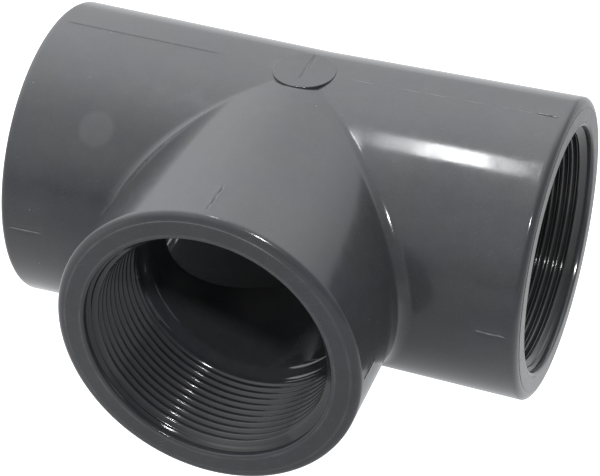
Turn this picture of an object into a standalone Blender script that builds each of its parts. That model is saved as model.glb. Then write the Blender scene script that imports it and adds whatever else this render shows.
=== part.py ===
"""A 2 inch threaded PVC pipe tee, moulded in one piece.

Metres, +Z up. The run lies along X and the branch leaves it towards -Y. The origin is the
centre of the part's bounding box, so the two planes of symmetry, X = 0 and Z = 0, pass
through it. The axes of run and branch cross at the empty named axes_crossing.

The body is three legs: run right, run left and branch. Each leg is one skin, a row of rings
that goes from the crotch along the outside, round the rim, and back along the threaded inside
to the crossing of the bores. Fillet strips join the legs at the crotch.
"""

import math

import bmesh
import bpy
from mathutils import Vector

# Outside.
CENTRE_TO_FACE = 0.066
MOUTH_RADIUS = 0.0375
CENTRE_RADIUS = 0.0365  # the barrels narrow by mould draft towards the crossing of their axes
CROTCH_FILLET = 0.0032
RIM_LENGTH = 0.0016  # the rim is rounded over this much of the barrel
RIM_WIDTH = 0.00225  # and over this much of the face

# Gate boss: a flat disc on top of the crossing.
BOSS_RADIUS = 0.0077
BOSS_RISE = 0.0004
BOSS_ROOT = 0.004  # how far its disc goes down into the wall
BOSS_SEGMENTS = 32

# Mouth, from the face inwards.
RECESS_RADIUS = 0.0305
RECESS_DEPTH = 0.0016
EDGE_WIDTH = 0.0009  # the recess's edge is rounded over this much of the face
EDGE_DEPTH = 0.0004  # and over this much of the depth
LEAD_IN_SLOPE = 1.4  # loss of radius for each metre of depth, past the recess

# 2-11.5 NPT female thread.
INCH = 0.0254
PITCH = INCH / 11.5
THREAD_TAPER = 1 / 32  # loss of radius for each metre of depth
THREAD_HEIGHT = 0.8 * PITCH
PITCH_RADIUS_AT_FACE = 2.29627 * INCH / 2
THREAD_PHASE = -0.2  # turns by which the spiral is advanced into the mouth
THREAD_END_DEPTH = 0.0255
THREAD_RUN_OUT = 0.6 * PITCH

# Past the thread: a short land, a shoulder that slopes in, and the plain bore.
LAND_END_DEPTH = 0.0266
BORE_START_DEPTH = 0.0292
BORE_RADIUS = 0.0263

# Facets.
SEGMENTS = 48
BARREL_ROWS = 5
RIM_ROWS = 3
EDGE_ROWS = 2
FILLET_STEPS = 3
BORE_ROWS = 2
WELD_DISTANCE = 1e-6

RIM_START = CENTRE_TO_FACE - RIM_LENGTH
DRAFT = (MOUTH_RADIUS - CENTRE_RADIUS) / RIM_START
RUN_AXIS_Y = (CENTRE_TO_FACE - MOUTH_RADIUS) / 2  # puts the bounding box's centre at the origin


def run_right(along, angle, radius):
    """The point of the right-hand leg at this distance along its axis, clockwise from the top."""
    return Vector((along, -radius * math.sin(angle), radius * math.cos(angle)))


def run_left(along, angle, radius):
    return Vector((-along, -radius * math.sin(angle), radius * math.cos(angle)))


def branch(along, angle, radius):
    return Vector((radius * math.sin(angle), -along, radius * math.cos(angle)))


# Whether the angle turns with (1) or against (-1) a right-hand thread that leaves the crossing.
LEGS = ((run_right, 1), (run_left, -1), (branch, -1))


def barrel_radius(along):
    return CENTRE_RADIUS + DRAFT * along


def ring_angles():
    return [2 * math.pi * step / SEGMENTS for step in range(SEGMENTS + 1)]


def facing_crotch(leg, angle):
    """How far this angle leans towards a crotch, from 0 to 1. A run leg's back half has none."""
    lean = math.sin(angle)
    if leg is branch:
        return abs(lean)
    return max(lean, 0.0)


def fillet_start(leg, angle):
    """Distance from the crossing at which the crotch fillet meets the barrel.

    A ball that rolls in the crotch has its centre at equal distances from both barrels.
    """
    lean = facing_crotch(leg, angle)
    return (CENTRE_RADIUS + CROTCH_FILLET) * lean / (1 - DRAFT * lean)


def outer_rows(leg):
    """Rings along the barrel and round the rim, as lists of (along, angle, radius)."""
    rows = []
    for step in range(BARREL_ROWS):
        share = step / (BARREL_ROWS - 1)
        row = []
        for angle in ring_angles():
            start = fillet_start(leg, angle)
            along = start + (RIM_START - start) * share
            row.append((along, angle, barrel_radius(along)))
        rows.append(row)
    for step in range(1, RIM_ROWS + 1):
        turn = math.pi / 2 * step / RIM_ROWS
        along = RIM_START + RIM_LENGTH * math.sin(turn)
        radius = MOUTH_RADIUS - RIM_WIDTH * (1 - math.cos(turn))
        rows.append([(along, angle, radius) for angle in ring_angles()])
    return rows


def plain_row(depth, radius):
    """A flat ring at a depth below the face."""
    return [(CENTRE_TO_FACE - depth, angle, radius) for angle in ring_angles()]


def recess_rows():
    """The rounded edge between the face and the recess."""
    rows = []
    for step in range(EDGE_ROWS + 1):
        turn = math.pi / 2 * step / EDGE_ROWS
        depth = EDGE_DEPTH * (1 - math.cos(turn))
        rows.append(plain_row(depth, RECESS_RADIUS + EDGE_WIDTH * (1 - math.sin(turn))))
    return rows


def crest_radius(depth):
    return PITCH_RADIUS_AT_FACE - THREAD_HEIGHT / 2 - THREAD_TAPER * depth


def thread_radius(depth, is_root):
    """The thread's radius at a crest or root, cut by the lead-in cone and fading at its end."""
    fade = min(1.0, (THREAD_END_DEPTH - depth) / THREAD_RUN_OUT)
    groove = THREAD_HEIGHT * fade if is_root else 0.0
    lead_in = RECESS_RADIUS - LEAD_IN_SLOPE * (depth - RECESS_DEPTH)
    return max(crest_radius(depth) + groove, lead_in)


def thread_rows(hand):
    """Spiral rows, by turns a root and a crest, held between the recess and the thread's end."""
    turns = (THREAD_END_DEPTH - RECESS_DEPTH) / PITCH + 1 - THREAD_PHASE
    rows = []
    for step in range(math.ceil(2 * turns) + 1):
        row = []
        for column, angle in enumerate(ring_angles()):
            turned = column / SEGMENTS
            if hand < 0:
                turned = 1 - turned
            depth = RECESS_DEPTH + PITCH * (step / 2 - turned + THREAD_PHASE)
            depth = min(max(depth, RECESS_DEPTH), THREAD_END_DEPTH)
            row.append((CENTRE_TO_FACE - depth, angle, thread_radius(depth, step % 2 == 0)))
        rows.append(row)
    return rows


def bore_rows(leg):
    """The land, the shoulder, and the bore up to its mitre with the other leg's at 45 degrees."""
    shoulder = CENTRE_TO_FACE - BORE_START_DEPTH
    rows = [plain_row(LAND_END_DEPTH, crest_radius(THREAD_END_DEPTH))]
    for step in range(BORE_ROWS + 1):
        share = step / BORE_ROWS
        row = []
        for angle in ring_angles():
            mitre = BORE_RADIUS * facing_crotch(leg, angle)
            row.append((shoulder + (mitre - shoulder) * share, angle, BORE_RADIUS))
        rows.append(row)
    return rows


def skin(mesh, rows, place):
    """Faces between each row of points and the next."""
    made = [[mesh.verts.new(place(*point)) for point in row] for row in rows]
    for upper, lower in zip(made, made[1:]):
        for column in range(len(upper) - 1):
            corners = (upper[column], upper[column + 1], lower[column + 1], lower[column])
            mesh.faces.new(corners)


def fillet_rows(side):
    """Arcs across one crotch, from the run barrel to the branch barrel."""
    rows = []
    for step in range(SEGMENTS // 2 + 1):
        angle = 2 * math.pi * step / SEGMENTS
        lean = math.sin(angle)
        along = fillet_start(branch, angle)
        reach = barrel_radius(along) + CROTCH_FILLET
        centre = Vector((along, -reach * lean, reach * math.cos(angle)))
        to_run = Vector((0, lean, -math.cos(angle)))
        to_branch = Vector((-lean, 0, -math.cos(angle)))
        row = []
        for part in range(FILLET_STEPS + 1):
            share = part / FILLET_STEPS
            if lean > WELD_DISTANCE:
                direction = to_run.slerp(to_branch, share)
            else:
                direction = to_run
            point = centre + CROTCH_FILLET * direction
            row.append((side * point.x, point.y, point.z))
        rows.append(row)
    return rows


def tidy_faces(mesh):
    """Welds the legs and spirals together and turns every face outwards."""
    bmesh.ops.remove_doubles(mesh, verts=mesh.verts[:], dist=WELD_DISTANCE)
    bmesh.ops.dissolve_degenerate(mesh, edges=mesh.edges[:], dist=WELD_DISTANCE)
    bmesh.ops.triangulate(mesh, faces=mesh.faces[:])
    bmesh.ops.recalc_face_normals(mesh, faces=mesh.faces[:])


def tee_mesh():
    mesh = bmesh.new()
    for leg, hand in LEGS:
        rows = outer_rows(leg) + recess_rows() + thread_rows(hand) + bore_rows(leg)
        skin(mesh, rows, leg)
    for side in (1, -1):
        skin(mesh, fillet_rows(side), lambda x, y, z: Vector((x, y, z)))
    tidy_faces(mesh)
    data = bpy.data.meshes.new("tee_body")
    mesh.to_mesh(data)
    mesh.free()
    data.shade_smooth()
    data.set_sharp_from_angle(angle=math.radians(30))
    return data


def boss_tool(parent):
    """The gate boss, as a disc that a Boolean joins to the body."""
    mesh = bmesh.new()
    bmesh.ops.create_cone(
        mesh,
        cap_ends=True,
        segments=BOSS_SEGMENTS,
        radius1=BOSS_RADIUS,
        radius2=BOSS_RADIUS,
        depth=BOSS_ROOT + BOSS_RISE,
    )
    data = bpy.data.meshes.new("gate_boss_tool")
    mesh.to_mesh(data)
    mesh.free()
    tool = bpy.data.objects.new("gate_boss_tool", data)
    bpy.context.collection.objects.link(tool)
    tool.parent = parent
    tool.location.z = CENTRE_RADIUS + (BOSS_RISE - BOSS_ROOT) / 2
    tool.hide_render = True
    tool.display_type = "WIRE"
    return tool


def grey_pvc():
    """Dark grey rigid PVC with a moulded half gloss."""
    material = bpy.data.materials.new("grey_pvc")
    material.use_nodes = True
    shader = material.node_tree.nodes["Principled BSDF"]
    shader.inputs["Base Color"].default_value = (0.075, 0.079, 0.086, 1.0)
    shader.inputs["Roughness"].default_value = 0.32
    shader.inputs["Metallic"].default_value = 0.0
    return material


def clear_scene():
    for thing in list(bpy.data.objects):
        bpy.data.objects.remove(thing)


def main():
    clear_scene()
    crossing = bpy.data.objects.new("axes_crossing", None)
    crossing.empty_display_size = MOUTH_RADIUS
    crossing.location.y = RUN_AXIS_Y
    bpy.context.collection.objects.link(crossing)

    body = bpy.data.objects.new("tee_body", tee_mesh())
    bpy.context.collection.objects.link(body)
    body.parent = crossing
    body.data.materials.append(grey_pvc())

    join_boss = body.modifiers.new("gate boss", "BOOLEAN")
    join_boss.operation = "UNION"
    join_boss.solver = "EXACT"
    join_boss.object = boss_tool(crossing)


main()
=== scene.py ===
"""The looks of a moulded PVC pipe tee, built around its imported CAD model.

One fine, closed mesh stands for the CAD body. It has the same three legs (run right, run left
and branch), with a rounded spiral thread in each mouth, rounded edges, the gate boss with its
scars, and the marks that the mould left.

Metres, +Z up. The run lies along X and the branch leaves it towards -Y. Each leg is described by
rings of points: the distance along the leg's axis from the crossing of the axes, the angle from
the top, and the radius. A depth is a distance below a mouth's face.
"""

import math

import bmesh
import bpy
import numpy as np
from mathutils import Matrix, Vector


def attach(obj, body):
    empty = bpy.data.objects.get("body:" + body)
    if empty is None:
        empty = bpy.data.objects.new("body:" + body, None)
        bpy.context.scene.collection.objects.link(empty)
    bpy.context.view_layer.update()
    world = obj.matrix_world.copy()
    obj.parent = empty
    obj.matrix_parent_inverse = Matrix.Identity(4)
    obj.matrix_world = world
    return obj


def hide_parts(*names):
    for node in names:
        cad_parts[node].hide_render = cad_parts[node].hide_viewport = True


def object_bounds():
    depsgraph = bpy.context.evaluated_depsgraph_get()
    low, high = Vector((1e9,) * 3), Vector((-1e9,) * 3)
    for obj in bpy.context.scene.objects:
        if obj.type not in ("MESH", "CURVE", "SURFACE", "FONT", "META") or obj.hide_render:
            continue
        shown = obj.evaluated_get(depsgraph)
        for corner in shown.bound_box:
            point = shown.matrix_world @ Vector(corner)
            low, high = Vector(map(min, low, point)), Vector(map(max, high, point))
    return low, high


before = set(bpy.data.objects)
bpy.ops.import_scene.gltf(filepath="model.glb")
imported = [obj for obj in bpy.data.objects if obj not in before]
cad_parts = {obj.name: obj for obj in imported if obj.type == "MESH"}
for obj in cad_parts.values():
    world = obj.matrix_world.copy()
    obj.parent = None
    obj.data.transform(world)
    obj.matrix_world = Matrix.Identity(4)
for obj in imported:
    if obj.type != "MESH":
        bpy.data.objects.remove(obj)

CAD_LOW, CAD_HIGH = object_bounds()

# Outside, from the frame's box.
CENTRE_TO_FACE = CAD_HIGH.x
MOUTH_RADIUS = CAD_HIGH.z
RUN_AXIS_Y = CAD_HIGH.y - MOUTH_RADIUS
CENTRE_RADIUS = 0.0365  # the barrels narrow by mould draft towards the crossing
CROTCH_FILLET = 0.0032
RIM_LENGTH = 0.0016  # the rim is rounded over this much of the barrel
RIM_WIDTH = 0.00225  # and over this much of the face
RIM_STEP = 0.00012  # the face stands this much proud of its rounding
RIM_STEP_ROWS = 2
RIM_START = CENTRE_TO_FACE - RIM_LENGTH
DRAFT = (MOUTH_RADIUS - CENTRE_RADIUS) / RIM_START

# Gate boss on top of the crossing.
BOSS_RADIUS = 0.0077
BOSS_RISE = 0.0004
BOSS_ROOT = 0.003  # how far its disc goes down into the wall
BOSS_EDGE = 0.00018
BOSS_TOP = CENTRE_RADIUS + BOSS_RISE
BOSS_FOOT = CENTRE_RADIUS - BOSS_ROOT
BOSS_DISH = 0.00006  # how far its middle lies below its rim

# The boss's two scars run along Y. Places are across and along from the boss's middle.
LONG_SCAR_ACROSS = -0.00005
LONG_SCAR_WIDTH = 0.00013
LONG_SCAR_DEPTH = 0.00016
LONG_SCAR_START = (-0.0046, -0.0034)  # it fades in between these places
LONG_SCAR_WANDER = 0.0001
LONG_SCAR_WAVE = 0.0013
SHORT_SCAR_ACROSS = 0.00065
SHORT_SCAR_WIDTH = 0.00014
SHORT_SCAR_DEPTH = 0.00007
SHORT_SCAR_START = (0.0005, 0.0022)

# Mouth, from the face inwards.
RECESS_RADIUS = 0.0305
RECESS_DEPTH = 0.0016
EDGE_WIDTH = 0.0009  # the recess's edge is rounded over this much of the face
EDGE_DEPTH = 0.0004  # and over this much of the depth
RECESS_CORNER = 0.0003
LEAD_IN_SLOPE = 1.4  # loss of radius for each metre of depth, past the recess
SUPPORT = 0.00012  # width of the narrow faces that hold a flat face's shading flat

# 2-11.5 NPT female thread.
INCH = 0.0254
PITCH = INCH / 11.5
THREAD_TAPER = 1 / 32  # loss of radius for each metre of depth
PITCH_RADIUS_AT_FACE = 2.29627 * INCH / 2
SHARP_HALF_HEIGHT = math.sqrt(3) / 4 * PITCH  # half the height of the sharp 60 degree V
THREAD_ROUNDING = 0.13  # of a pitch, to each side of a crest's or root's middle
THREAD_NEAR_MIDDLE = 0.36  # where the rows nearest that middle lie, as a share of the rounding
THREAD_PHASE = -0.2  # turns by which the spiral is advanced into the mouth
THREAD_END_DEPTH = 0.0255
THREAD_RUN_OUT = 0.7 * PITCH

# Past the thread: a short land, a shoulder that slopes in, and the plain bore.
LAND_END_DEPTH = 0.0266
BORE_START_DEPTH = 0.0292
BORE_RADIUS = 0.0263
BORE_CROTCH_ROUNDING = 0.0007
SHOULDER_EASE = 0.15  # the shoulder's curve would reach this share of its length past each end

# Mesh fineness.
SEGMENTS = 120
COARSE_ROWS = 16
FINE_ROWS = 28
FINE_START = 0.048  # the barrel's rows are closer together from here to the rim
FACE_RINGS = (0, 0.12, 0.88, 1)  # places of the face's rings, from its outer to its inner edge
ARC_ROWS = 7
EDGE_ROWS = 4
SHOULDER_ROWS = 6
BORE_ROWS = 14
FILLET_STEPS = 10
BOSS_ROWS = 40
BOSS_COLUMNS = 61
WELD_DISTANCE = 1e-6
TINY_ANGLE = 1e-6
SHARP_ANGLE = math.radians(50)

# Marks of the mould: (leg, degrees from the top, start, end, height, unevenness). A negative height is
# a groove. Start and end are distances from the crossing along the leg's axis.
RUN_RIGHT, RUN_LEFT, BRANCH = "run_right", "run_left", "branch"
MOULD_MARKS = (
    (RUN_LEFT, 0, 0.0205, 0.0628, -0.00016, 0.1),
    (RUN_LEFT, 0, 0.0110, 0.0210, -0.00006, 0.6),
    (RUN_RIGHT, 0, 0.0120, 0.0575, 0.00010, 0.6),
    (RUN_RIGHT, 0, 0.0576, 0.0634, -0.00050, 0.5),
    (RUN_LEFT, 90, 0.0545, 0.0632, 0.00018, 0.3),
    (RUN_RIGHT, 90, 0.0553, 0.0634, 0.00022, 0.4),
    (BRANCH, 0, 0.0520, 0.0632, -0.00022, 0.6),
    (BRANCH, 90, 0.0545, 0.0632, -0.00018, 0.5),
    (BRANCH, 270, 0.0545, 0.0632, 0.00014, 0.5),
    (BRANCH, 180, 0.0400, 0.0628, -0.00010, 0.3),
    (RUN_RIGHT, 180, 0.0100, 0.0628, -0.00007, 0.5),
    (RUN_LEFT, 180, 0.0100, 0.0628, -0.00007, 0.5),
    (RUN_RIGHT, 270, 0.0545, 0.0632, -0.00012, 0.5),
    (RUN_LEFT, 270, 0.0545, 0.0632, -0.00012, 0.3),
)
MARK_WIDTH = 0.00017
MARK_LIP = 0.00038  # from a mark's middle to the shallow lip at each side
MARK_LIP_SHARE = 0.35  # the lip's height, as a share of the mark's and the other way up
MARK_OFFSETS = (-0.0006, -0.00038, -0.00018, 0, 0.00018, 0.00038, 0.0006)  # columns across a mark
MARK_FADE_IN = 0.001
MARK_FADE_OUT = 0.0006
MARK_WANDER = 0.00012  # how far an uneven mark strays from its line
MARK_WANDER_WAVE = 0.00071
MARK_RIPPLE_WAVES = (0.00043, 0.0011)


def place_run_right(along, angle, radius):
    """World points of the right-hand leg, from distance along its axis, angle from the top and radius."""
    return np.stack([along, RUN_AXIS_Y - radius * np.sin(angle), radius * np.cos(angle)], axis=-1)


def place_run_left(along, angle, radius):
    points = place_run_right(along, angle, radius)
    points[..., 0] *= -1
    return points


def place_branch(along, angle, radius):
    return np.stack([radius * np.sin(angle), RUN_AXIS_Y - along, radius * np.cos(angle)], axis=-1)


# Each leg's name, placing function, and whether its angle turns with (1) or against (-1) the thread.
LEGS = (
    (RUN_RIGHT, place_run_right, 1),
    (RUN_LEFT, place_run_left, -1),
    (BRANCH, place_branch, -1),
)


def column_angles():
    """Angles round a leg, closer together at the mould's marks. The last equals the first plus a turn."""
    degrees = {round(360 * step / SEGMENTS, 6) for step in range(SEGMENTS)}
    for _, middle, *_ in MOULD_MARKS:
        for mirrored in (middle, -middle):
            for offset in MARK_OFFSETS:
                degrees.add(round((mirrored + math.degrees(offset / MOUTH_RADIUS)) % 360, 6))
    return np.radians(sorted(degrees) + [360.0])


ANGLES = column_angles()


def smooth_step(value, low, high):
    share = np.clip((value - low) / (high - low), 0, 1)
    return share * share * (3 - 2 * share)


def near(value, middle, width):
    """A bell from 0 to 1, highest where the value is at the middle."""
    return np.exp(-(((value - middle) / width) ** 2))


def facing_crotch(leg):
    """How far each column leans towards a crotch, from 0 to 1. A run leg's back half has none."""
    lean = np.sin(ANGLES)
    return np.abs(lean) if leg == BRANCH else np.maximum(lean, 0)


def barrel_radius(along):
    return CENTRE_RADIUS + DRAFT * along


def mark_relief(leg, along):
    """Radial relief of the mould's marks at every point of one ring of a barrel."""
    relief = np.zeros_like(along)
    short, long = MARK_RIPPLE_WAVES
    for owner, degrees, start, end, height, unevenness in MOULD_MARKS:
        if owner != leg:
            continue
        turn = (ANGLES - math.radians(degrees) + math.pi) % (2 * math.pi) - math.pi
        wander = unevenness * MARK_WANDER * np.sin(along / MARK_WANDER_WAVE)
        arc = turn * MOUTH_RADIUS - wander
        ripple = 1 - unevenness * (0.5 + 0.5 * np.sin(along / short + 1) * np.sin(along / long))
        reach = smooth_step(along, start, start + MARK_FADE_IN)
        reach *= smooth_step(-along, -end, MARK_FADE_OUT - end)
        middle = near(arc, 0, MARK_WIDTH)
        lips = near(np.abs(arc), MARK_LIP, MARK_WIDTH)
        relief += height * reach * ripple * (middle - MARK_LIP_SHARE * lips)
    return relief


def ring(depth, radius):
    """One flat ring below the face, as (along, radius) for each column."""
    size = len(ANGLES)
    return np.full(size, CENTRE_TO_FACE - depth), np.full(size, float(radius))


def arc_rings(depth, radius, deep, wide, start, end, steps):
    """Rings round a quarter of an ellipse about a centre given by its depth and radius."""
    rings = []
    for step in range(steps + 1):
        turn = start + (end - start) * step / steps
        rings.append(ring(depth - deep * math.sin(turn), radius + wide * math.cos(turn)))
    return rings


def barrel_rows(leg):
    """Rings along the outside, from the crotch fillet to the rim."""
    lean = facing_crotch(leg)
    start = (CENTRE_RADIUS + CROTCH_FILLET) * lean / (1 - DRAFT * lean)
    rows = []
    for step in range(COARSE_ROWS):
        along = start + (FINE_START - start) * step / COARSE_ROWS
        rows.append((along, barrel_radius(along) + mark_relief(leg, along)))
    for step in range(FINE_ROWS):
        along = np.full(len(ANGLES), FINE_START + (RIM_START - FINE_START) * step / FINE_ROWS)
        rows.append((along, barrel_radius(along) + mark_relief(leg, along)))
    return rows


def rim_rows():
    """Round the rim, up a small step, across the face and into the recess."""
    quarter = math.pi / 2
    face_edge = MOUTH_RADIUS - RIM_WIDTH
    rows = arc_rings(RIM_LENGTH, face_edge, RIM_LENGTH - RIM_STEP, RIM_WIDTH, 0, quarter, ARC_ROWS)
    step_edge = face_edge - RIM_STEP
    rows += arc_rings(RIM_STEP, step_edge, RIM_STEP, RIM_STEP, 0, quarter, RIM_STEP_ROWS)
    recess_edge = RECESS_RADIUS + EDGE_WIDTH
    outer, inner = step_edge - SUPPORT, recess_edge + SUPPORT
    rows += [ring(0, outer + (inner - outer) * share) for share in FACE_RINGS]
    rows += arc_rings(EDGE_DEPTH, recess_edge, EDGE_DEPTH, EDGE_WIDTH, quarter, 2 * quarter, EDGE_ROWS)
    rows.append(ring(RECESS_DEPTH - RECESS_CORNER, RECESS_RADIUS))
    return rows


def thread_section(fraction):
    """Height of the 60 degree thread, from 1 in a root's middle to -1 on a crest's, rounded at both."""
    fraction = (fraction + 0.5) % 1 - 0.5
    side = 1.0
    if abs(fraction) > 0.25:
        fraction = 0.5 - abs(fraction)
        side = -1.0
    distance = abs(fraction)
    if distance > THREAD_ROUNDING:
        return side * (1 - 4 * distance)
    return side * (1 - 2 * THREAD_ROUNDING - 2 * distance * distance / THREAD_ROUNDING)


def thread_rows(hand):
    """Spiral rows, held between the recess and the thread's end."""
    near_middle = THREAD_NEAR_MIDDLE * THREAD_ROUNDING
    in_pitch = [-THREAD_ROUNDING, -near_middle, near_middle, THREAD_ROUNDING]
    in_pitch += [0.5 + fraction for fraction in in_pitch]
    turned = ANGLES / (2 * math.pi)
    if hand < 0:
        turned = 1 - turned
    turns = math.ceil((THREAD_END_DEPTH - RECESS_DEPTH) / PITCH - THREAD_PHASE) + 2
    rows = []
    for turn in range(turns):
        for fraction in in_pitch:
            depth = RECESS_DEPTH + PITCH * (turn + fraction - turned + THREAD_PHASE)
            depth = np.clip(depth, RECESS_DEPTH, THREAD_END_DEPTH)
            middle = PITCH_RADIUS_AT_FACE - THREAD_TAPER * depth
            crest = middle + SHARP_HALF_HEIGHT * thread_section(0.5)
            full = middle + SHARP_HALF_HEIGHT * thread_section(fraction)
            fade = smooth_step(THREAD_END_DEPTH - depth, 0, THREAD_RUN_OUT)
            lead_in = RECESS_RADIUS - LEAD_IN_SLOPE * (depth - RECESS_DEPTH)
            radius = np.maximum(crest + (full - crest) * fade, lead_in)
            rows.append((CENTRE_TO_FACE - depth, radius))
    return rows


def bore_rows(leg):
    """The land past the thread, the shoulder, and the plain bore up to the bores' mitre."""
    land = PITCH_RADIUS_AT_FACE - THREAD_TAPER * THREAD_END_DEPTH
    land += SHARP_HALF_HEIGHT * thread_section(0.5)
    rows = [ring(LAND_END_DEPTH - 2 * SUPPORT, land)]
    for step in range(SHOULDER_ROWS + 1):
        share = step / SHOULDER_ROWS
        depth = LAND_END_DEPTH + (BORE_START_DEPTH - LAND_END_DEPTH) * share
        slope = smooth_step(share, -SHOULDER_EASE, 1 + SHOULDER_EASE)
        rows.append(ring(depth, land + (BORE_RADIUS - land) * slope))
    start = CENTRE_TO_FACE - BORE_START_DEPTH - 2 * SUPPORT
    end = (BORE_RADIUS + BORE_CROTCH_ROUNDING) * facing_crotch(leg)
    for step in range(BORE_ROWS + 1):
        along = start + (end - start) * step / BORE_ROWS
        rows.append((along, np.full(len(ANGLES), BORE_RADIUS)))
    return rows


def crotch_rows(radius, draft, rounding, side):
    """Arcs across the crease of two crossing barrels, as a ball of this size would round it."""
    half = ANGLES[ANGLES < math.pi + TINY_ANGLE]
    lean = np.sin(half)
    lean[-1] = 0.0  # without the sine's rounding error
    along = (radius + rounding) * lean / (1 - draft * lean)
    reach = radius + draft * along + rounding
    centre = np.stack([along, -reach * lean, reach * np.cos(half)], axis=-1)
    to_run = np.stack([np.zeros_like(lean), lean, -np.cos(half)], axis=-1)
    to_branch = np.stack([-lean, np.zeros_like(lean), -np.cos(half)], axis=-1)
    between = np.arccos(np.clip(np.cos(half) ** 2, -1, 1))
    spread = np.maximum(np.sin(between), TINY_ANGLE)
    rows = []
    for step in range(FILLET_STEPS + 1):
        share = step / FILLET_STEPS
        of_run = np.where(between > TINY_ANGLE, np.sin((1 - share) * between) / spread, 1 - share)
        of_branch = np.where(between > TINY_ANGLE, np.sin(share * between) / spread, share)
        points = centre + rounding * (of_run[:, None] * to_run + of_branch[:, None] * to_branch)
        points[:, 0] *= side
        points[:, 1] += RUN_AXIS_Y
        rows.append(points)
    return rows


class Skin:
    """Gathers grids of points, then welds them into one closed mesh."""

    def __init__(self):
        self.points = []
        self.quads = []
        self.count = 0

    def add(self, rows):
        grid = np.array(rows)
        height, width = grid.shape[:2]
        index = self.count + np.arange(height * width).reshape(height, width)
        quads = np.stack([index[:-1, :-1], index[:-1, 1:], index[1:, 1:], index[1:, :-1]], axis=-1)
        self.points.append(grid.reshape(-1, 3))
        self.quads.append(quads.reshape(-1, 4))
        self.count += height * width

    def mesh(self, name):
        data = bpy.data.meshes.new(name)
        data.from_pydata(np.concatenate(self.points).tolist(), [], np.concatenate(self.quads).tolist())
        work = bmesh.new()
        work.from_mesh(data)
        bmesh.ops.remove_doubles(work, verts=work.verts[:], dist=WELD_DISTANCE)
        bmesh.ops.dissolve_degenerate(work, edges=work.edges[:], dist=WELD_DISTANCE)
        bmesh.ops.recalc_face_normals(work, faces=work.faces[:])
        work.to_mesh(data)
        work.free()
        return data


def barrels_mesh():
    skin = Skin()
    for leg, place, hand in LEGS:
        rows = barrel_rows(leg) + rim_rows() + thread_rows(hand) + bore_rows(leg)
        skin.add([place(along, ANGLES, radius) for along, radius in rows])
    for side in (1, -1):
        skin.add(crotch_rows(CENTRE_RADIUS, DRAFT, CROTCH_FILLET, side))
        skin.add(crotch_rows(BORE_RADIUS, 0.0, BORE_CROTCH_ROUNDING, side))
    data = skin.mesh("tee_moulding")
    for vertex in data.vertices:
        vertex.co = np.clip(vertex.co, CAD_LOW, CAD_HIGH)
    return data


def boss_columns():
    """Angles over half a turn from +X, with more of them where the scars cross the disc."""
    angles = np.linspace(0, math.pi, BOSS_COLUMNS).tolist()
    for middle in (LONG_SCAR_ACROSS, SHORT_SCAR_ACROSS):
        angles += [math.acos((middle + offset) / BOSS_RADIUS) for offset in MARK_OFFSETS]
    return np.array(sorted(angles))


def boss_relief(x, y):
    """Height of the boss's top over its plane: a shallow dish with a long and a short scar."""
    wander = LONG_SCAR_WANDER * np.sin(y / LONG_SCAR_WAVE)
    long_scar = near(x + wander, LONG_SCAR_ACROSS, LONG_SCAR_WIDTH) * smooth_step(y, *LONG_SCAR_START)
    short_scar = near(x, SHORT_SCAR_ACROSS, SHORT_SCAR_WIDTH) * smooth_step(y, *SHORT_SCAR_START)
    dish = BOSS_DISH * ((x * x + y * y) / BOSS_RADIUS**2 - 1)
    return dish - LONG_SCAR_DEPTH * long_scar - SHORT_SCAR_DEPTH * short_scar


def boss_mesh():
    """A disc with a rounded upper edge, as a top and a bottom grid and a wall between them."""
    skin = Skin()
    half = boss_columns()
    flat = BOSS_RADIUS - BOSS_EDGE
    for level, is_top in ((BOSS_TOP, True), (BOSS_FOOT, False)):
        size = flat if is_top else BOSS_RADIUS
        rows = []
        for step in range(BOSS_ROWS + 1):
            x = size * np.cos(half)
            y = size * np.sin(half) * (2 * step / BOSS_ROWS - 1)
            z = np.full_like(x, level)
            if is_top:
                z += boss_relief(x, y)
            rows.append(np.stack([x, y + RUN_AXIS_Y, z], axis=-1))
        skin.add(rows)
    around = np.concatenate([half, 2 * math.pi - half[::-1]])
    rows = []
    for step in range(ARC_ROWS):
        turn = math.pi / 2 * (1 - step / (ARC_ROWS - 1))
        size = flat + BOSS_EDGE * math.cos(turn)
        x, y = size * np.cos(around), size * np.sin(around)
        z = BOSS_TOP - BOSS_EDGE + BOSS_EDGE * math.sin(turn)
        x_top, y_top = flat * np.cos(around), flat * np.sin(around)
        z = z + boss_relief(x_top, y_top) * (1 - step / (ARC_ROWS - 1))
        rows.append(np.stack([x, y + RUN_AXIS_Y, z], axis=-1))
    x, y = BOSS_RADIUS * np.cos(around), BOSS_RADIUS * np.sin(around)
    rows.append(np.stack([x, y + RUN_AXIS_Y, np.full_like(x, BOSS_FOOT)], axis=-1))
    skin.add(rows)
    return skin.mesh("gate_boss")


def new_object(name, data):
    thing = bpy.data.objects.new(name, data)
    bpy.context.scene.collection.objects.link(thing)
    return thing


def make_body():
    """The moulding: the barrels' skin joined with the boss."""
    body = new_object("tee_moulding", barrels_mesh())
    boss = new_object("gate_boss", boss_mesh())
    join = body.modifiers.new("gate boss", "BOOLEAN")
    join.operation = "UNION"
    join.solver = "EXACT"
    join.object = boss
    bpy.context.view_layer.update()
    joined = bpy.data.meshes.new_from_object(body.evaluated_get(bpy.context.evaluated_depsgraph_get()))
    body.modifiers.clear()
    body.data = joined
    bpy.data.objects.remove(boss)
    joined.shade_smooth()
    joined.set_sharp_from_angle(angle=SHARP_ANGLE)
    return body


# Where the pale edges with painted highlights, the painted shade in the thread's grooves and the pale
# marks lie, in metres unless said otherwise.
EDGE_BLUR = 0.0002  # width of the pale band at an edge, partly wear and partly a painted highlight
BOSS_EDGE_WEAR_AND_HIGHLIGHT = 0.3  # as a share of the wear and painted highlight at a mouth's edges
GROOVE_SHADE_RISE = 0.0008  # distance from a thread's crest at which the painted shade in the groove is full
MARK_PALE = (0.00005, 0.00010)  # a raised mark turns pale, partly a scar and partly a painted highlight, between these heights
TOP_MARK_REACH = 0.001  # on top of the crossing, only this near to the legs' top lines
BOSS_CLEARANCE = 0.002  # and only this far from the boss


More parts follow.
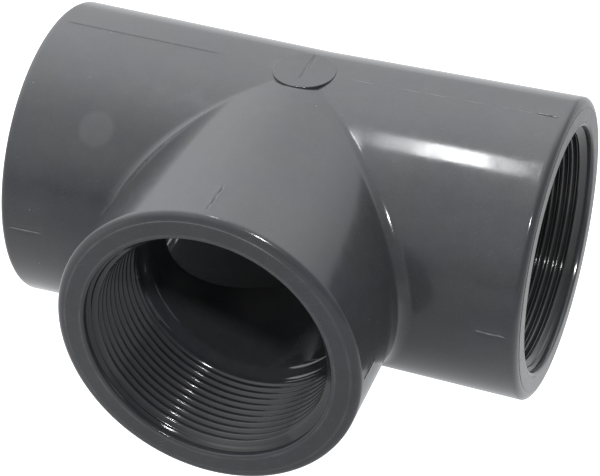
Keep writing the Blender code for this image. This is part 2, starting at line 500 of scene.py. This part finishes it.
def leg_coordinates(points):
    """Each point's distance along its nearest leg's axis, and its distance from that axis."""
    x = points[:, 0]
    y = points[:, 1] - RUN_AXIS_Y
    z = points[:, 2]
    on_branch = -y > np.abs(x)
    along = np.where(on_branch, -y, np.abs(x))
    radius = np.where(on_branch, np.hypot(x, z), np.hypot(y, z))
    return along, radius


def add_masks(data):
    """Stores where the mesh is edge, mark, face, inside and groove, as attributes the material reads.
    Edge and mark carry paleness that is partly painted highlight; groove carries painted shade.
    """
    points = np.empty(len(data.vertices) * 3)
    data.vertices.foreach_get("co", points)
    points = points.reshape(-1, 3)
    along, radius = leg_coordinates(points)
    depth = CENTRE_TO_FACE - along
    at_face = near(depth, 0, EDGE_BLUR)
    face = at_face * (radius > RECESS_RADIUS + EDGE_WIDTH) * (radius < MOUTH_RADIUS - RIM_WIDTH)
    inside = smooth_step(-radius, -RECESS_RADIUS - SUPPORT, -RECESS_RADIUS)
    # Pale edges of the face: partly wear, partly a painted highlight.
    edge = at_face * near(radius, MOUTH_RADIUS - RIM_WIDTH, EDGE_BLUR)
    edge += at_face * near(radius, RECESS_RADIUS + EDGE_WIDTH, EDGE_BLUR)
    crest = PITCH_RADIUS_AT_FACE - THREAD_TAPER * depth + SHARP_HALF_HEIGHT * thread_section(0.5)
    threaded = (depth > RECESS_DEPTH) * (depth < THREAD_END_DEPTH)
    # Painted shade: the thread's grooves darken towards their roots.
    groove = inside * threaded * smooth_step(radius - crest, 0, GROOVE_SHADE_RISE)
    from_boss = np.hypot(points[:, 0], points[:, 1] - RUN_AXIS_Y)
    # A weaker pale band at the boss's edge, partly a painted highlight.
    edge += BOSS_EDGE_WEAR_AND_HIGHLIGHT * near(from_boss, BOSS_RADIUS, EDGE_BLUR) * (points[:, 2] > CENTRE_RADIUS)
    across = np.minimum(np.abs(points[:, 0]), np.abs(points[:, 1] - RUN_AXIS_Y))
    on_top = (across < TOP_MARK_REACH) * (points[:, 2] > 0) * (from_boss > BOSS_RADIUS + BOSS_CLEARANCE)
    off_fillets = ((along > FINE_START) | on_top) * (along < RIM_START)
    # Raised marks turn pale: partly a scar, partly a painted highlight.
    mark = off_fillets * smooth_step(radius - barrel_radius(along), *MARK_PALE)
    masks = {"face": face, "inside": inside, "edge": edge, "mark": mark, "groove": groove}
    for name, values in masks.items():
        mask = data.attributes.new(name, "FLOAT", "POINT")
        mask.data.foreach_set("value", np.clip(values, 0, 1).astype(np.float32))


class Shader:
    """Short ways to add and join the nodes of one material or world."""

    def __init__(self, owner):
        owner.use_nodes = True
        self.tree = owner.node_tree

    def surface(self, **inputs):
        """Feeds the material's Principled shader."""
        for name, value in inputs.items():
            self.feed(self.tree.nodes["Principled BSDF"].inputs[name.replace("_", " ")], value)

    def feed(self, socket, value):
        if isinstance(value, bpy.types.NodeSocket):
            self.tree.links.new(value, socket)
        else:
            socket.default_value = value

    def node(self, kind, settings=None, **inputs):
        made = self.tree.nodes.new(kind)
        for name, value in (settings or {}).items():
            setattr(made, name, value)
        for name, value in inputs.items():
            self.feed(made.inputs[name.replace("_", " ")], value)
        return made

    def math(self, operation, *values):
        made = self.tree.nodes.new("ShaderNodeMath")
        made.operation = operation
        for socket, value in zip(made.inputs, values):
            self.feed(socket, value)
        return made.outputs[0]

    def add(self, first, *others):
        total = first
        for other in others:
            total = self.math("ADD", total, other)
        return total

    def times(self, first, *others):
        product = first
        for other in others:
            product = self.math("MULTIPLY", product, other)
        return product

    def between(self, value, low, high, at_low=0.0, at_high=1.0):
        """Maps a value from one range to another, held at both ends."""
        made = self.tree.nodes.new("ShaderNodeMapRange")
        made.interpolation_type = "SMOOTHSTEP"
        for socket, number in zip(made.inputs, (value, low, high, at_low, at_high)):
            self.feed(socket, number)
        return made.outputs[0]

    def blend(self, share, low, high):
        """A colour between two others."""
        made = self.node("ShaderNodeMix", {"data_type": "RGBA"})
        self.feed(made.inputs["Factor"], share)
        self.feed(made.inputs[6], low)
        self.feed(made.inputs[7], high)
        return made.outputs[2]

    def noise(self, place, size, detail=2.0, stretch=(1, 1, 1)):
        """Cloudy noise from 0 to 1 whose lumps are this many metres across."""
        where = self.node("ShaderNodeMapping", Vector=place, Scale=tuple(part / size for part in stretch))
        cloud = self.node("ShaderNodeTexNoise", Vector=where.outputs[0], Scale=1.0, Detail=detail)
        return cloud.outputs["Fac"]

    def distance(self, place, point):
        made = self.node("ShaderNodeVectorMath", {"operation": "DISTANCE"}, Vector=place)
        made.inputs[1].default_value = point
        return made.outputs["Value"]

    def mask(self, name):
        return self.node("ShaderNodeAttribute", {"attribute_name": name}).outputs["Fac"]


# The plastic.
PVC_COOL = (0.0333, 0.0355, 0.0410, 1)
PVC_WARM = (0.0362, 0.0366, 0.0378, 1)
# Pale colour of scuffs, dust and scratches, also used for painted highlights at edges, marks and a round
# spot.
PVC_SCUFF_AND_HIGHLIGHT = (0.16, 0.16, 0.16, 1)
PVC_ROUGHNESS = 0.12
PVC_INDEX = 1.53

# Its noises, as (metres across one lump, detail).
CLOUD = (0.030, 3.0)
MOTTLE = (0.0035, 4.0)
GRAIN = (0.0004, 2.0)
WAVE = (0.009, 1.0)
RIPPLE = (0.0016, 2.0)
POLISH = (0.0006, 2.0)
POLISH_STRETCH = (0.02, 1, 1)
# Patches of the pale edges, which are partly wear and partly a painted highlight.
PALE_EDGE_PATCHES = (0.006, 3.0)
HUE = (0.018, 2.0)

# The part of a noise's values that is spread over the whole of an effect, and the effects.
NOISE_MIDDLE = (0.3, 0.7)
GRAIN_MIDDLE = (0.25, 0.75)
HUE_MIDDLE = (0.35, 0.65)
CLOUD_TONE = (0.90, 1.08)
MOTTLE_TONE = (-0.05, 0.05)
GRAIN_TONE = (-0.07, 0.07)
UNEVEN_ROUGHNESS = (-0.02, 0.03)
# Strengths of the pale edges' patches, partly wear and partly a painted highlight.
UNEVEN_WEAR_AND_HIGHLIGHT = (0.35, 1.0)
GROOVE_SHADE_TONE = 0.5  # share of the tone that is lost to painted shade in the thread's grooves

# A faint pale round spot on the left leg: a painted highlight.
HIGHLIGHT_SPOT = place_run_left(0.0436, math.radians(45.1), CENTRE_RADIUS)
HIGHLIGHT_SPOT_RADIUS = 0.0044
HIGHLIGHT_SPOT_BLUR = 0.0008

DUST = (0.0065, 0.00026, 0.35)  # spacing, radius of a speck, share of the places that hold one
# Two sets of fine scratches, as (turns about X, Y and Z, length, width).
SCRATCHES = (
    ((0.3, 0.5, 1.1), 0.014, 0.00035),
    ((1.2, 0.2, 0.4), 0.009, 0.00030),
)
SCRATCH_SHARE = 0.34  # of the noise's values
SCRATCH_FULL = 0.6  # of that share: where a scratch reaches its full strength

# What each detail does: how pale it is, how much rougher, and how high it stands in metres.
# Dust and scratches are real; the pale edges, marks and round spot are partly or wholly painted
# highlights.
PALENESS = {"edge_wear_and_highlight": 0.30, "dust": 0.5, "spot": 0.13, "scratch": 0.10, "mark": 1.0}
ADDED_ROUGHNESS = {"scratch": 0.12, "dust": 0.3, "edge_wear_and_highlight": 0.15, "mark": 0.2, "face": 0.08, "spot": 0.03}
BUMP_HEIGHT = {
    "wave": 0.000030,
    "ripple": 0.0000030,
    "grain": 0.0000010,
    "polish": 0.0000016,
    "scratch": -0.0000020,
    "dust": 0.000006,
}


def specks(shader, place, spacing, radius, share):
    """Round dots, one in some of the cells of this spacing."""
    cells = shader.node("ShaderNodeTexVoronoi", Vector=place, Scale=1 / spacing)
    dot = shader.between(cells.outputs["Distance"], 0.5 * radius / spacing, radius / spacing, 1.0, 0.0)
    chosen = shader.node("ShaderNodeSeparateColor", Color=cells.outputs["Color"]).outputs[0]
    return shader.times(dot, shader.math("LESS_THAN", chosen, share))


def scratches(shader, place):
    """Fine straight scratches, in sets that each run one way."""
    strongest = 0.0
    for turn, length, width in SCRATCHES:
        turned = shader.node("ShaderNodeMapping", Vector=place, Rotation=turn)
        lines = shader.noise(turned.outputs[0], width, 1.0, (width / length, 1, 1))
        found = shader.between(lines, 1 - SCRATCH_SHARE, 1 - SCRATCH_FULL * SCRATCH_SHARE)
        strongest = shader.math("MAXIMUM", strongest, found)
    return strongest


def surface_details(shader, place):
    """The strength of each detail of the surface, by name."""
    patchy = shader.between(shader.noise(place, *PALE_EDGE_PATCHES), *NOISE_MIDDLE, *UNEVEN_WEAR_AND_HIGHLIGHT)
    to_spot = shader.distance(place, HIGHLIGHT_SPOT)
    spot_inner, spot_outer = HIGHLIGHT_SPOT_RADIUS - HIGHLIGHT_SPOT_BLUR, HIGHLIGHT_SPOT_RADIUS + HIGHLIGHT_SPOT_BLUR
    outside = shader.math("SUBTRACT", 1.0, shader.mask("inside"))
    return {
        "wave": shader.noise(place, *WAVE),
        "ripple": shader.noise(place, *RIPPLE),
        "grain": shader.noise(place, *GRAIN),
        "polish": shader.noise(place, *POLISH, POLISH_STRETCH),
        # Pale edges: partly wear, partly a painted highlight.
        "edge_wear_and_highlight": shader.times(shader.mask("edge"), patchy),
        "dust": specks(shader, place, *DUST),
        "scratch": shader.times(scratches(shader, place), outside),
        # A painted highlight: a faint pale round spot on the left leg.
        "spot": shader.between(to_spot, spot_inner, spot_outer, 1, 0),
        # Pale raised marks: partly a scar, partly a painted highlight.
        "mark": shader.mask("mark"),
        "face": shader.mask("face"),
    }


def pvc_material():
    """Dark grey rigid PVC: cloudy pigment, fine grain, polish lines, scratches, dust, pale edges and
    marks that are partly painted highlights, a painted round highlight, and painted shade in the thread's
    grooves.
    """
    material = bpy.data.materials.new("grey_pvc")
    shader = Shader(material)
    place = shader.node("ShaderNodeTexCoord").outputs["Object"]
    cloud = shader.noise(place, *CLOUD)
    mottle = shader.noise(place, *MOTTLE)
    details = surface_details(shader, place)

    tone = shader.add(
        shader.between(cloud, *NOISE_MIDDLE, *CLOUD_TONE),
        shader.between(mottle, *NOISE_MIDDLE, *MOTTLE_TONE),
        shader.between(details["grain"], *GRAIN_MIDDLE, *GRAIN_TONE),
    )
    # Painted shade in the thread's grooves.
    groove_shade = shader.times(shader.mask("groove"), GROOVE_SHADE_TONE)
    tone = shader.times(tone, shader.math("SUBTRACT", 1.0, groove_shade))
    hue = shader.between(shader.noise(place, *HUE), *HUE_MIDDLE)
    pigment = shader.blend(hue, PVC_COOL, PVC_WARM)
    toned = shader.node("ShaderNodeVectorMath", {"operation": "SCALE"}, Vector=pigment, Scale=tone)
    # Paleness from dust and scratches, and painted highlights at edges, marks and a round spot.
    pale = 0.0
    for name, share in PALENESS.items():
        pale = shader.math("MAXIMUM", pale, shader.times(details[name], share))
    colour = shader.blend(pale, toned.outputs[0], PVC_SCUFF_AND_HIGHLIGHT)

    rough = shader.add(
        PVC_ROUGHNESS,
        shader.between(cloud, *NOISE_MIDDLE, *UNEVEN_ROUGHNESS),
        shader.between(mottle, *NOISE_MIDDLE, *UNEVEN_ROUGHNESS),
        *[shader.times(details[name], more) for name, more in ADDED_ROUGHNESS.items()],
    )
    height = shader.add(*[shader.times(details[name], rise) for name, rise in BUMP_HEIGHT.items()])
    bump = shader.node("ShaderNodeBump", Strength=1.0, Distance=1.0, Height=height)
    shader.surface(Base_Color=colour, Roughness=rough, IOR=PVC_INDEX, Normal=bump.outputs[0])
    return material


body = make_body()
add_masks(body.data)
body.data.materials.clear()
body.data.materials.append(pvc_material())
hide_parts("tee_body")
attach(body, "root")

CROSSING = Vector((0, RUN_AXIS_Y, 0))

# The studio: a dim room with broad soft lights, as (azimuth, elevation, sharpness, strength). Azimuth
# turns from the front towards the right.
ROOM_LIGHT = 0.26
SOFT_LIGHTS = (
    (-120, 51, 3.0, 2.9),
    (152, 34, 9.8, 1.1),
    (-32, 27, 10.8, 0.6),
)
LIGHT_TINT = (0.990, 0.998, 1.015, 1)
BACKDROP_SEEN = 1.2  # the camera's own rays see this instead of the room

# The floor.
FLOOR_REACH = 3.0
FLOOR_BASE = (0.1, 0.1, 0.1, 1)  # dark: the floor is pale by its glow
FLOOR_ROUGHNESS = 0.7
FLOOR_GLOW = (0.34, 0.70)  # of the floor in front on the right, and behind on the left
FLOOR_GLOW_SIDE = Vector((-0.81, 0.59, 0))
FLOOR_GLOW_FADE = (-0.116, 0.10)  # it changes between these distances from the crossing on that side
# Brighter places on the floor beside the two mouths of the run, as (place, reach, glow).
FLOOR_PATCHES = (
    (Vector((0.105, -0.03, 0)), 0.12, 0.60),
    (Vector((-0.100, -0.01, 0)), 0.13, 0.32),
)
FLOOR_GLOW_SEEN = 1.6  # what the camera sees, for a backdrop without an edge

# Lamps, as (name, direction from the crossing, width, length, power).
LAMP_DISTANCE = 0.9
LAMPS = (
    ("lamp_top", (-0.196, 0.0, 0.98), 0.036, 0.18, 0.85),
    ("lamp_front", (0.235, -0.61, 0.755), 0.065, 0.065, 3.4),
)


def direction_to(azimuth, elevation):
    azimuth, elevation = math.radians(azimuth), math.radians(elevation)
    level = math.cos(elevation)
    return Vector((math.sin(azimuth) * level, -math.cos(azimuth) * level, math.sin(elevation)))


def along_direction(shader, place, direction):
    made = shader.node("ShaderNodeVectorMath", {"operation": "DOT_PRODUCT"}, Vector=place)
    made.inputs[1].default_value = direction
    return made.outputs["Value"]


def seen_by_camera(shader, seen, unseen):
    """One value for the camera's own rays and another for all others."""
    made = shader.node("ShaderNodeMix", {"data_type": "FLOAT"})
    shader.feed(made.inputs["Factor"], shader.node("ShaderNodeLightPath").outputs["Is Camera Ray"])
    shader.feed(made.inputs[2], unseen)
    shader.feed(made.inputs[3], seen)
    return made.outputs[0]


def make_world():
    """A room that glows unevenly. The camera itself sees a plain pale backdrop in its place."""
    world = bpy.data.worlds.new("studio")
    bpy.context.scene.world = world
    shader = Shader(world)
    ray = shader.node("ShaderNodeTexCoord").outputs["Generated"]
    light = ROOM_LIGHT
    for azimuth, elevation, sharpness, strength in SOFT_LIGHTS:
        facing = along_direction(shader, ray, direction_to(azimuth, elevation))
        lobe = shader.math("EXPONENT", shader.times(shader.add(facing, -1.0), sharpness))
        light = shader.add(light, shader.times(lobe, strength))
    background = shader.tree.nodes["Background"]
    background.inputs["Color"].default_value = LIGHT_TINT
    shader.feed(background.inputs["Strength"], seen_by_camera(shader, BACKDROP_SEEN, light))


def make_floor():
    """A pale table that glows more strongly behind on the left, and beside the run's mouths."""
    reach = FLOOR_REACH
    corners = [(-reach, -reach, 0), (reach, -reach, 0), (reach, reach, 0), (-reach, reach, 0)]
    data = bpy.data.meshes.new("floor")
    data.from_pydata(corners, [], [(0, 1, 2, 3)])
    material = bpy.data.materials.new("floor_white")
    shader = Shader(material)
    place = shader.node("ShaderNodeTexCoord").outputs["Object"]
    side = along_direction(shader, place, FLOOR_GLOW_SIDE)
    glow = shader.between(side, *FLOOR_GLOW_FADE, *FLOOR_GLOW)
    for middle, patch_reach, patch_glow in FLOOR_PATCHES:
        from_middle = shader.distance(place, middle)
        glow = shader.add(glow, shader.between(from_middle, 0, patch_reach, patch_glow, 0))
    glow = seen_by_camera(shader, FLOOR_GLOW_SEEN, glow)
    shader.surface(Base_Color=FLOOR_BASE, Roughness=FLOOR_ROUGHNESS)
    shader.surface(Emission_Color=LIGHT_TINT, Emission_Strength=glow)
    data.materials.append(material)
    floor = new_object("floor", data)
    floor.location = CROSSING + Vector((0, 0, CAD_LOW.z))


def lamp(name, direction, width, length, power):
    """A soft lamp that faces the tee. Its length lies along Y."""
    data = bpy.data.lights.new(name, "AREA")
    data.shape = "RECTANGLE"
    data.size, data.size_y = width, length
    data.energy = power
    data.color = LIGHT_TINT[:3]
    made = new_object(name, data)
    place = Vector(direction).normalized() * LAMP_DISTANCE
    made.location = CROSSING + place
    made.rotation_mode = "QUATERNION"
    made.rotation_quaternion = Vector((0, 0, 1)).rotation_difference(place)


make_world()
make_floor()
for settings in LAMPS:
    lamp(*settings)

# The photo's viewing angle, from a camera fitted to the tee's outline.
VIEW_AZIMUTH = math.radians(20.1048)
VIEW_ELEVATION = math.radians(35.9125)
VIEW_ROLL = math.radians(0.1274)
VIEW_PLACE = Vector((4.52169, -12.43052, 9.23296)) * MOUTH_RADIUS  # from the crossing
LENS, SENSOR = 145.47, 36.0  # millimetres
CLIP_START, CLIP_END = 0.01, 20


def make_camera():
    data = bpy.data.cameras.new("camera")
    data.lens = LENS
    data.sensor_width = SENSOR
    data.clip_start, data.clip_end = CLIP_START, CLIP_END
    camera = new_object("camera", data)
    level, tilt = VIEW_AZIMUTH, VIEW_ELEVATION
    back = Vector((math.sin(level) * math.cos(tilt), -math.cos(level) * math.cos(tilt), math.sin(tilt)))
    turn = Matrix.Rotation(VIEW_ROLL, 3, back) @ back.to_track_quat("Z", "Y").to_matrix()
    camera.location = CROSSING + VIEW_PLACE
    camera.rotation_mode = "QUATERNION"
    camera.rotation_quaternion = turn.to_quaternion()
    bpy.context.scene.camera = camera


make_camera()
bpy.context.scene.view_settings.view_transform = "Standard"
